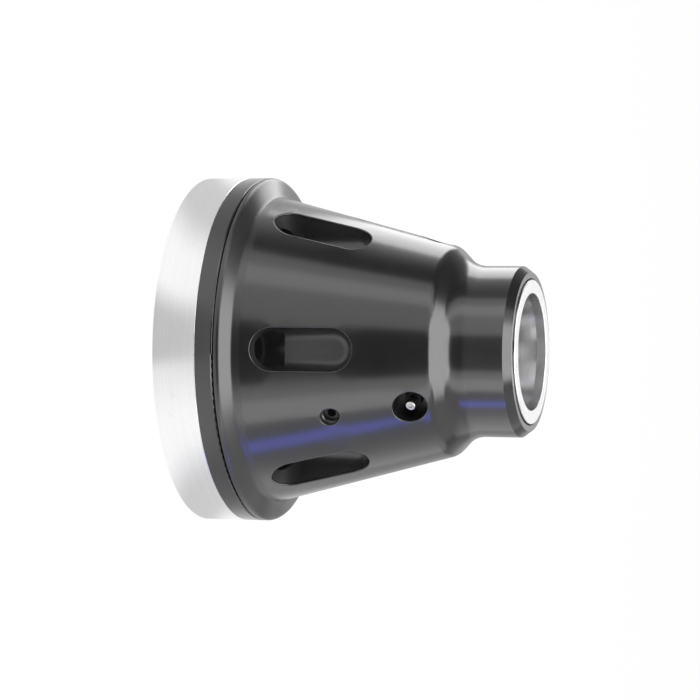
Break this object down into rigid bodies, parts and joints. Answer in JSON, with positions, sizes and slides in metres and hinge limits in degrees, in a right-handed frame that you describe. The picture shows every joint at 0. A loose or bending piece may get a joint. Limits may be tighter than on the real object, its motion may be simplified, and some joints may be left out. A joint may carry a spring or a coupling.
{
  "type": "lathe collet chuck",
  "caption": "Conical dead-length collet chuck for a short-taper lathe spindle, with a bright adapter plate, black body, bolt pockets and a sliding closing sleeve.",
  "frame": {"origin": "centre of the back mounting face, in the plane that meets the spindle's face", "axes": "+Z along the spindle axis towards the nose, -Y through one bolt pocket"},
  "size_m": [0.1968, 0.1968, 0.1903],
  "materials": {
    "ground_steel": "ground bright",
    "black_oxide": "satin black oxide",
    "turned_steel": "turned",
    "hardened_steel": "hardened and ground",
    "pin_steel": "ground",
    "plated_steel": "zinc plated",
    "screw_black": "black oxide",
    "wiper_rubber": "matt",
    "seal_rubber": "matt"
  },
  "bodies": {
    "chuck": {"adapter_plate": "ground_steel", "chuck_body": "black_oxide", "collet_spool": "turned_steel", "collet_key": "pin_steel", "front_wiper": "wiper_rubber", "sleeve_seal": "seal_rubber", "spool_seal": "seal_rubber", "adapter_seal": "seal_rubber", "drive_screws": "screw_black", "adapter_screws": "screw_black", "adapter_dowels": "pin_steel", "drive_bush_1": "pin_steel", "drive_bush_2": "pin_steel", "drive_bush_3": "pin_steel", "grease_nipple_1": "plated_steel", "grease_nipple_2": "plated_steel", "grease_nipple_3": "plated_steel"},
    "sleeve": {"closing_sleeve": "hardened_steel", "draw_connector": "turned_steel", "lock_screws": "screw_black"}
  },
  "joints": [
    {"name": "sleeve_slide", "type": "slide", "parent": "chuck", "child": "sleeve", "axis": [0, 0, 1], "range_m": [0, 0.007]}
  ]
}
